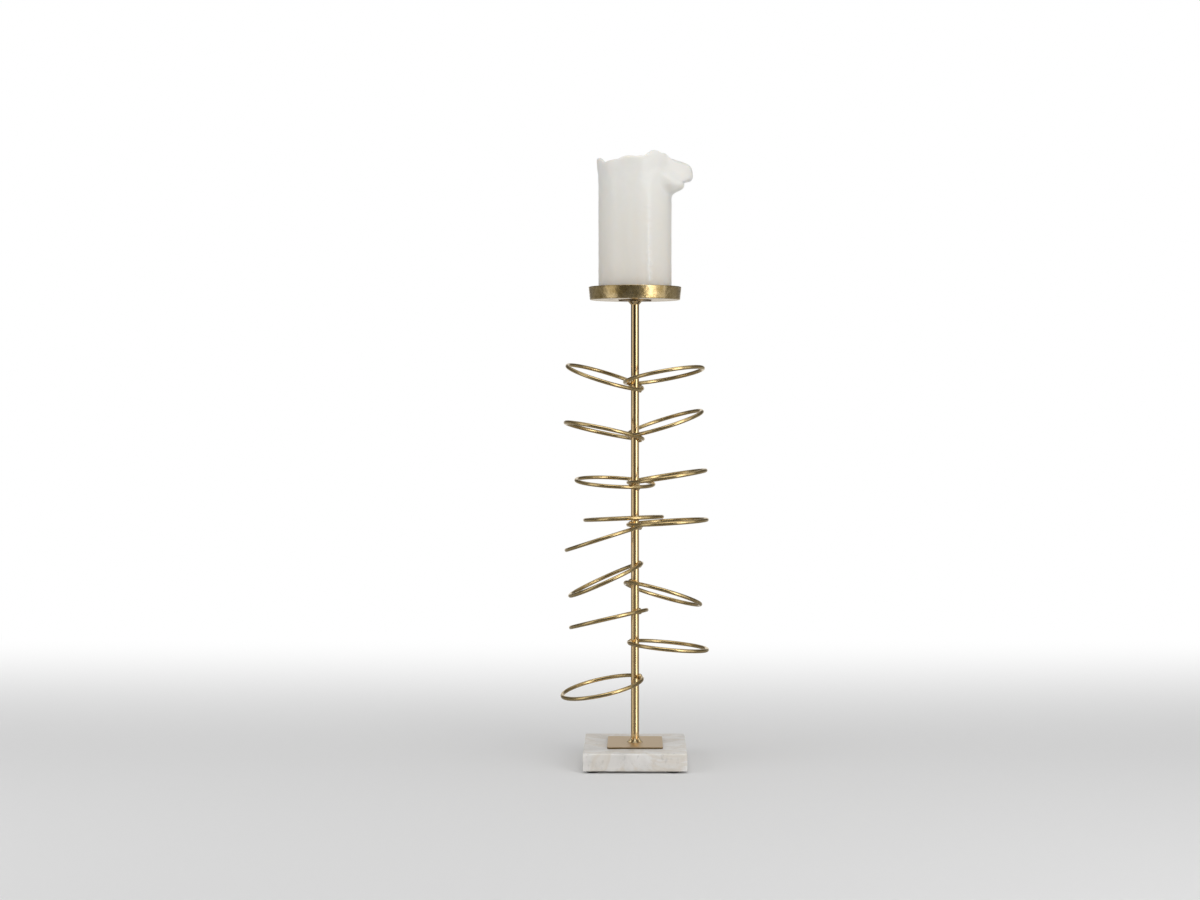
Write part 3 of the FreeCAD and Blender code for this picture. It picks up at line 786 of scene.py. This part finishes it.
def floor_finish():
    """Pale grey floor that turns to the white of the background behind the object."""
    finish, tree, shader, place = new_finish("pale_floor", metallic=0.0, roughness=0.9)
    grey = 0.755
    mirrored_share = 0.28
    back_start, back_end = 0.0, 0.9
    far_start, far_end = 0.75, 1.4
    shader.inputs["Base Color"].default_value = (grey, grey, grey, 1.0)
    hidden = tree.nodes.new("ShaderNodeMath")
    hidden.operation = "MULTIPLY"
    hidden.inputs[1].default_value = 1 - mirrored_share
    tree.links.new(ray_kinds(tree, seen_in_metal[0]), hidden.inputs[0])
    distance = tree.nodes.new("ShaderNodeVectorMath")
    distance.operation = "LENGTH"
    tree.links.new(place, distance.inputs[0])
    back_share = fade(tree, part_of(tree, place, "Y"), back_start, back_end)
    behind = joined(tree, "MULTIPLY", back_share, ray_kinds(tree, seen_by_eye, *seen_in_metal))
    far_share = fade(tree, distance.outputs["Value"], far_start, far_end)
    far = joined(tree, "MULTIPLY", far_share, ray_kinds(tree, seen_by_eye))
    layers = (
        (joined(tree, "MAXIMUM", behind, far), tree.nodes.new("ShaderNodeEmission").outputs["Emission"]),
        (hidden.outputs[0], tree.nodes.new("ShaderNodeBsdfTransparent").outputs["BSDF"]),
    )
    surface = layered(tree, shader.outputs["BSDF"], layers)
    tree.links.new(surface, tree.nodes["Material Output"].inputs["Surface"])
    return finish


floor_reach = 30.0
floor_mesh = bpy.data.meshes.new("floor")
floor_shape = bmesh.new()
bmesh.ops.create_grid(floor_shape, x_segments=1, y_segments=1, size=floor_reach)
floor_shape.to_mesh(floor_mesh)
floor_shape.free()
floor_mesh.materials.append(floor_finish())
floor = bpy.data.objects.new("floor", floor_mesh)
bpy.context.scene.collection.objects.link(floor)


def light_room():
    """White behind the object for the eye and for metal, a dimmer room with a pale ceiling round it."""
    room = bpy.data.worlds.new("room")
    bpy.context.scene.world = room
    room.use_nodes = True
    tree = room.node_tree
    tree.nodes.remove(tree.nodes["Background"])
    direction = tree.nodes.new("ShaderNodeTexCoord").outputs["Generated"]
    dim_front, dim_side, ceiling, white, on_object = 0.035, 0.12, 0.60, 1.0, 0.48
    side = fade(tree, part_of(tree, direction, "Y"), -1.0, 0.2)
    above = fade(tree, part_of(tree, direction, "Z"), 0.45, 0.95)
    behind = fade(tree, part_of(tree, direction, "Y"), 0.90, 0.97)
    in_metal = ray_kinds(tree, *seen_in_metal)
    seen = ray_kinds(tree, seen_by_eye, *seen_in_metal)
    layers = (
        (in_metal, grey_light(tree, dim_front)),
        (joined(tree, "MULTIPLY", side, in_metal), grey_light(tree, dim_side)),
        (joined(tree, "MULTIPLY", above, in_metal), grey_light(tree, ceiling)),
        (joined(tree, "MULTIPLY", behind, seen), grey_light(tree, white)),
        (ray_kinds(tree, seen_by_eye), grey_light(tree, white)),
    )
    light = layered(tree, grey_light(tree, on_object), layers)
    tree.links.new(light, tree.nodes["World Output"].inputs["Surface"])


def soft_lamp(name, azimuth, height, distance, width, length, watts):
    """A lamp turned to the object's middle; its azimuth goes from the camera to the right."""
    aim_height = 0.33
    lamp = bpy.data.lights.new(name, "AREA")
    lamp.shape = "RECTANGLE"
    lamp.size = width
    lamp.size_y = length
    lamp.energy = watts
    stand = bpy.data.objects.new(name, lamp)
    turn = math.radians(azimuth)
    stand.location = (distance * math.sin(turn), -distance * math.cos(turn), height)
    aim = Vector((0, 0, aim_height)) - stand.location
    stand.rotation_euler = aim.to_track_quat("-Z", "Y").to_euler()
    bpy.context.scene.collection.objects.link(stand)
    return stand


light_room()
# Each lamp's name, azimuth, height, distance, width, length and watts
lamps = (
    ("key_strip", 40, 0.45, 1.6, 0.66, 1.8, 11.5),
    ("right_panel", 68, 0.45, 1.5, 0.70, 1.8, 3.0),
    ("left_strip", -63, 0.45, 1.5, 0.80, 1.8, 4.0),
    ("overhead", 10, 1.6, 0.5, 1.2, 1.0, 5.2),
)
fills = (
    ("left_fill", -72, 0.60, 1.5, 1.0, 1.4, 4.9),
    ("rear_fill", 180, 0.90, 1.5, 1.2, 1.4, 2.0),
)
for lamp in lamps:
    soft_lamp(*lamp)
for fill in fills:
    soft_lamp(*fill).visible_glossy = False

photo_width, photo_height = 1200, 900
focal_pixels = 1800
sensor_width = 36
axis_pixel = (635, 379)
camera_height = 0.399
camera_distance = 1.872
eye = bpy.data.cameras.new("camera")
eye.sensor_width = sensor_width
eye.lens = sensor_width * focal_pixels / photo_width
eye.shift_x = (photo_width / 2 - axis_pixel[0]) / photo_width
eye.shift_y = (axis_pixel[1] - photo_height / 2) / photo_width
camera = bpy.data.objects.new("camera", eye)
camera.location = (0, -camera_distance, camera_height)
camera.rotation_euler = (math.radians(90), 0, 0)
bpy.context.scene.collection.objects.link(camera)
bpy.context.scene.camera = camera
bpy.context.scene.view_settings.view_transform = "Standard"
